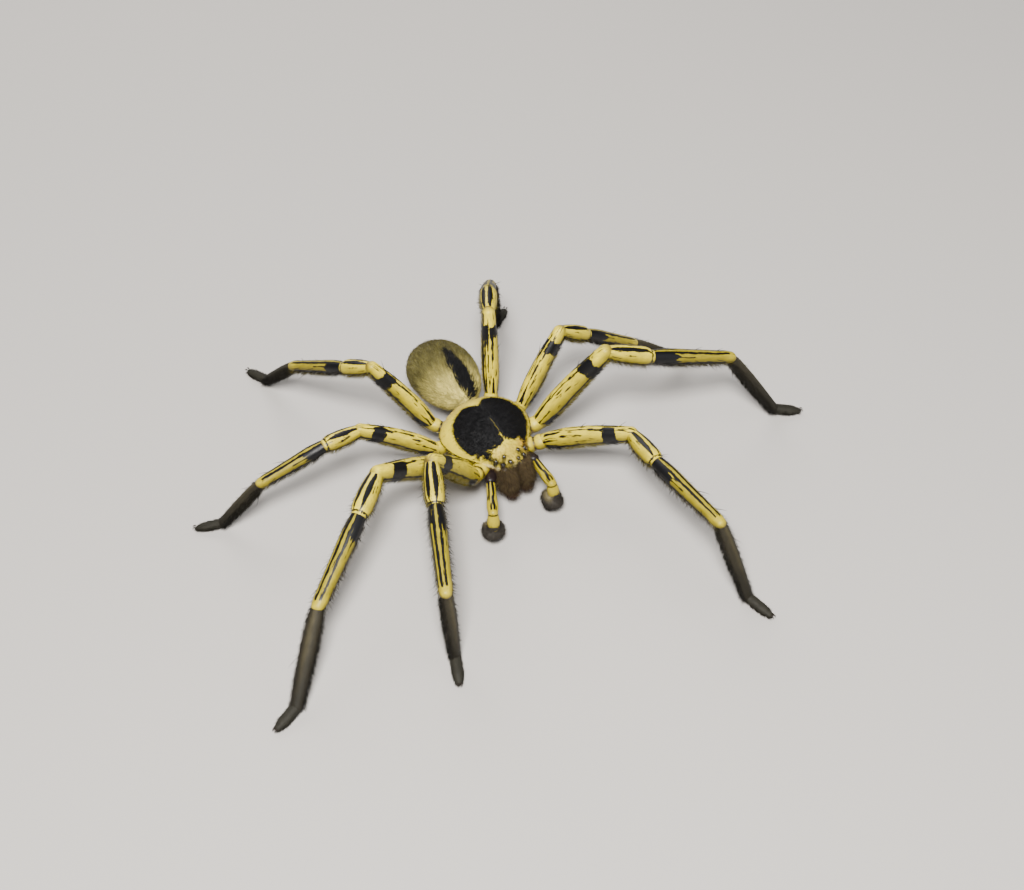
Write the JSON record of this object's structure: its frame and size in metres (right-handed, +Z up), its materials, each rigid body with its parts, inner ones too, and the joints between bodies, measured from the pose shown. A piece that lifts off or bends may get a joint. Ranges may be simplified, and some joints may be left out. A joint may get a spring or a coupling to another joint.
{
  "type": "huntsman spider",
  "caption": "life-size still model of a male huntsman spider standing on a flat floor with its legs spread and bent",
  "frame": {"origin": "on the floor under the middle of the bounding box", "axes": "+X is the spider's left, -Y is the way its head points, +Z is up"},
  "size_m": [0.0902, 0.0792, 0.0201],
  "materials": {
    "carapace": "yellow cuticle under a hairy black patch that is forked at the front",
    "abdomen": "velvety olive and cream hair with a black middle stripe",
    "leg": "satin yellow cuticle with black streaks and bands under short hair",
    "foot": "dense dark grey-brown hair pads",
    "jaw": "dark brown cuticle with stiff hairs",
    "eye": "glossy near-black lens"
  },
  "bodies": {
    "root": {"cephalothorax": "carapace", "abdomen": "abdomen", "spinnerets": "abdomen", "chelicera_left": "jaw", "palp_left_femur": "leg", "palp_left_tibia": "leg", "palp_left_tarsus": "foot", "eye_front_median_left": "eye", "eye_front_lateral_left": "eye", "eye_rear_median_left": "eye", "eye_rear_lateral_left": "eye", "chelicera_right": "jaw", "palp_right_femur": "leg", "palp_right_tibia": "leg", "palp_right_tarsus": "foot", "eye_front_median_right": "eye", "eye_front_lateral_right": "eye", "eye_rear_median_right": "eye", "eye_rear_lateral_right": "eye", "leg_left_1_coxa": "leg", "leg_left_1_femur": "leg", "leg_left_1_tibia": "leg", "leg_left_1_metatarsus": "foot", "leg_left_1_tarsus": "foot", "leg_left_2_coxa": "leg", "leg_left_2_femur": "leg", "leg_left_2_tibia": "leg", "leg_left_2_metatarsus": "foot", "leg_left_2_tarsus": "foot", "leg_left_3_coxa": "leg", "leg_left_3_femur": "leg", "leg_left_3_tibia": "leg", "leg_left_3_metatarsus": "foot", "leg_left_3_tarsus": "foot", "leg_left_4_coxa": "leg", "leg_left_4_femur": "leg", "leg_left_4_tibia": "leg", "leg_left_4_metatarsus": "foot", "leg_left_4_tarsus": "foot", "leg_right_1_coxa": "leg", "leg_right_1_femur": "leg", "leg_right_1_tibia": "leg", "leg_right_1_metatarsus": "foot", "leg_right_1_tarsus": "foot", "leg_right_2_coxa": "leg", "leg_right_2_femur": "leg", "leg_right_2_tibia": "leg", "leg_right_2_metatarsus": "foot", "leg_right_2_tarsus": "foot", "leg_right_3_coxa": "leg", "leg_right_3_femur": "leg", "leg_right_3_tibia": "leg", "leg_right_3_metatarsus": "foot", "leg_right_3_tarsus": "foot", "leg_right_4_coxa": "leg", "leg_right_4_femur": "leg", "leg_right_4_tibia": "leg", "leg_right_4_metatarsus": "foot", "leg_right_4_tarsus": "foot"}
  },
  "joints": []
}
